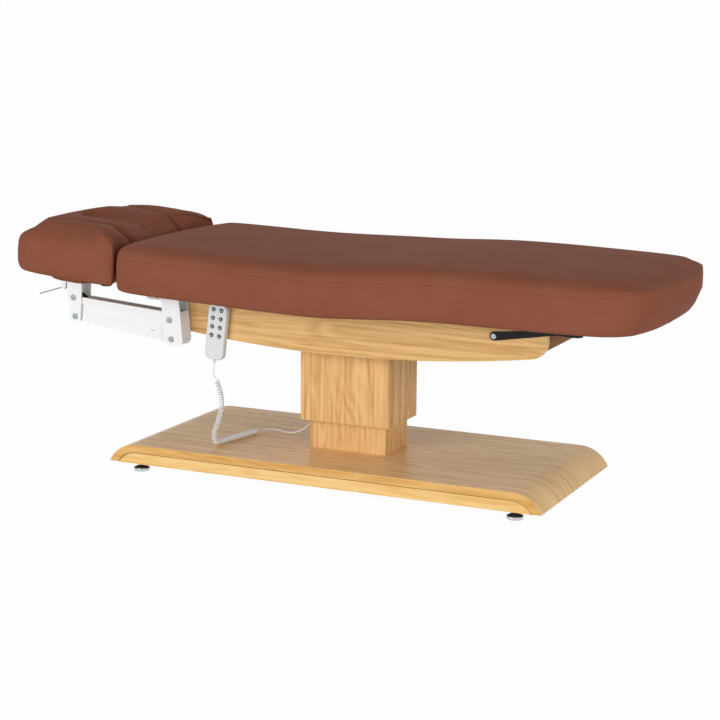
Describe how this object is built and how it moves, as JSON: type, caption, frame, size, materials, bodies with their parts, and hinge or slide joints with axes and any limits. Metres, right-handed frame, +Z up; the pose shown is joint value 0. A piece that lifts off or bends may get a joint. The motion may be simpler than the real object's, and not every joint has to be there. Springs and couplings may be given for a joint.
{
  "type": "spa bed",
  "caption": "Powered spa bed: crowned leatherette mattress in folding sections, adjustable head cushion on parallel arms, veneered lift column and base, wired handset.",
  "frame": {"origin": "on the floor under the middle of the bed's overall box", "axes": "+X to the foot end, +Z up, the handset on the -Y side"},
  "size_m": [1.9172, 0.7762, 0.7041],
  "materials": {
    "veneer": "satin lacquered oak veneer, grain along each board",
    "veneer_edge": "satin lacquered solid edge timber",
    "birch_ply": "plain plywood",
    "lined_board": "plywood with a dark lining cloth below",
    "leatherette": "terracotta brown leatherette over foam, fine grain, piped seams",
    "white_steel": "white powder coat",
    "black_steel": "black satin powder coat",
    "zinc": "bright zinc",
    "polished": "polished",
    "drive_grey": "moulded housing",
    "handset_grey": "fine texture",
    "button_black": "satin",
    "cord_white": "satin cable sheath",
    "foot_black": "satin"
  },
  "bodies": {
    "base": {"base_board": "veneer", "base_skirts": "veneer_edge", "foot_blocks": "birch_ply", "inner_column": "veneer", "lift_tube": "zinc"},
    "foot_head_near": {"foot_head_near": "foot_black"},
    "foot_head_far": {"foot_head_far": "foot_black"},
    "foot_foot_near": {"foot_foot_near": "foot_black"},
    "foot_foot_far": {"foot_foot_far": "foot_black"},
    "bed": {"outer_column": "veneer", "lift_ram": "polished", "top_plate": "black_steel", "side_rails": "veneer", "end_boards": "veneer", "seat_board": "lined_board", "seat_pad": "leatherette", "back_bend": "leatherette", "hip_bend": "leatherette", "seat_hinges": "zinc", "link_bolts": "zinc", "back_drive": "drive_grey", "leg_drive": "drive_grey", "handset_body": "handset_grey", "handset_hook": "drive_grey", "cord_curl": "cord_white", "cord_lead": "cord_white", "cord_gland": "cord_white"},
    "back_section": {"back_board": "lined_board", "back_pad": "leatherette", "back_hinges": "zinc", "back_lever": "black_steel", "head_brackets": "white_steel", "bracket_bolts": "zinc"},
    "back_rod": {"back_drive_rod": "polished"},
    "thigh_section": {"thigh_board": "lined_board", "thigh_pad": "leatherette", "thigh_hinges": "zinc", "thigh_lever": "black_steel"},
    "calf_section": {"calf_board": "lined_board", "calf_pad": "leatherette", "calf_hinges": "zinc", "calf_tabs": "black_steel"},
    "links": {"calf_links": "black_steel"},
    "leg_rod": {"leg_drive_rod": "polished"},
    "arms_upper": {"upper_arms": "white_steel"},
    "arms_lower": {"lower_arms": "white_steel"},
    "head": {"head_uprights": "white_steel", "upright_bolts": "zinc", "head_board": "lined_board", "head_cushion": "leatherette"},
    "plug": {"face_plug": "leatherette"},
    "handle": {"release_handle": "polished"},
    "button_1": {"button_1": "button_black"},
    "button_2": {"button_2": "button_black"},
    "button_3": {"button_3": "button_black"},
    "button_4": {"button_4": "button_black"},
    "button_5": {"button_5": "button_black"},
    "button_6": {"button_6": "button_black"},
    "button_7": {"button_7": "button_black"},
    "button_8": {"button_8": "button_black"}
  },
  "joints": [
    {"name": "foot_head_near_level", "type": "slide", "parent": "base", "child": "foot_head_near", "axis": [0, 0, -1], "range_m": [0, 0.012]},
    {"name": "foot_head_far_level", "type": "slide", "parent": "base", "child": "foot_head_far", "axis": [0, 0, -1], "range_m": [0, 0.012]},
    {"name": "foot_foot_near_level", "type": "slide", "parent": "base", "child": "foot_foot_near", "axis": [0, 0, -1], "range_m": [0, 0.012]},
    {"name": "foot_foot_far_level", "type": "slide", "parent": "base", "child": "foot_foot_far", "axis": [0, 0, -1], "range_m": [0, 0.012]},
    {"name": "column_lift", "type": "slide", "parent": "base", "child": "bed", "axis": [0, 0, 1], "range_m": [0, 0.25]},
    {"name": "back_raise", "type": "hinge", "parent": "bed", "child": "back_section", "pos_m": [-0.17177, 0, 0.5], "axis": [0, 1, 0], "range_deg": [0, 48], "deforming": ["back_bend"]},
    {"name": "back_rod_push", "type": "slide", "parent": "bed", "child": "back_rod", "axis": [-1, 0, 0], "range_m": [0, 0.0758]},
    {"name": "leg_raise", "type": "hinge", "parent": "bed", "child": "thigh_section", "pos_m": [0.12823, 0, 0.488], "axis": [0, -1, 0], "range_deg": [0, 25], "deforming": ["hip_bend"]},
    {"name": "calf_fold", "type": "hinge", "parent": "thigh_section", "child": "calf_section", "pos_m": [0.35753, 0, 0.50962], "axis": [0, -1, 0], "range_deg": [-25, 0]},
    {"name": "link_turn", "type": "hinge", "parent": "bed", "child": "links", "pos_m": [0.50023, 0, 0.4656], "axis": [0, -1, 0], "range_deg": [0, 25]},
    {"name": "leg_rod_push", "type": "slide", "parent": "bed", "child": "leg_rod", "axis": [1, 0, 0], "range_m": [0, 0.0404]},
    {"name": "head_swing", "type": "hinge", "parent": "back_section", "child": "arms_upper", "pos_m": [-0.44977, 0, 0.4385], "axis": [0, 1, 0], "range_deg": [-18, 2]},
    {"name": "lower_arm_swing", "type": "hinge", "parent": "back_section", "child": "arms_lower", "pos_m": [-0.44447, 0, 0.3846], "axis": [0, 1, 0], "range_deg": [-18, 2]},
    {"name": "head_level", "type": "hinge", "parent": "arms_upper", "child": "head", "pos_m": [-0.76677, 0, 0.4793], "axis": [0, 1, 0], "range_deg": [-2, 18]},
    {"name": "plug_lift", "type": "slide", "parent": "head", "child": "plug", "axis": [0.0837, 0, 0.9965], "range_m": [0, 0.14]},
    {"name": "release_lift", "type": "hinge", "parent": "head", "child": "handle", "pos_m": [-0.80873, 0, 0.5054], "axis": [0, 1, 0], "range_deg": [0, 12], "stiffness_Nm_per_rad": 0.2},
    {"name": "button_1_press", "type": "slide", "parent": "bed", "child": "button_1", "axis": [0, 1, 0], "range_m": [0, 0.0012], "stiffness_N_per_m": 300},
    {"name": "button_2_press", "type": "slide", "parent": "bed", "child": "button_2", "axis": [0, 1, 0], "range_m": [0, 0.0012], "stiffness_N_per_m": 300},
    {"name": "button_3_press", "type": "slide", "parent": "bed", "child": "button_3", "axis": [0, 1, 0], "range_m": [0, 0.0012], "stiffness_N_per_m": 300},
    {"name": "button_4_press", "type": "slide", "parent": "bed", "child": "button_4", "axis": [0, 1, 0], "range_m": [0, 0.0012], "stiffness_N_per_m": 300},
    {"name": "button_5_press", "type": "slide", "parent": "bed", "child": "button_5", "axis": [0, 1, 0], "range_m": [0, 0.0012], "stiffness_N_per_m": 300},
    {"name": "button_6_press", "type": "slide", "parent": "bed", "child": "button_6", "axis": [0, 1, 0], "range_m": [0, 0.0012], "stiffness_N_per_m": 300},
    {"name": "button_7_press", "type": "slide", "parent": "bed", "child": "button_7", "axis": [0, 1, 0], "range_m": [0, 0.0012], "stiffness_N_per_m": 300},
    {"name": "button_8_press", "type": "slide", "parent": "bed", "child": "button_8", "axis": [0, 1, 0], "range_m": [0, 0.0012], "stiffness_N_per_m": 300}
  ],
  "couplings": [
    {"joint": "back_rod_push", "follows": "back_raise", "m_per_rad": 0.090304},
    {"joint": "calf_fold", "follows": "leg_raise", "ratio": -1},
    {"joint": "link_turn", "follows": "leg_raise", "ratio": 1},
    {"joint": "leg_rod_push", "follows": "leg_raise", "m_per_rad": 0.092264},
    {"joint": "lower_arm_swing", "follows": "head_swing", "ratio": 1},
    {"joint": "head_level", "follows": "head_swing", "ratio": -1}
  ]
}
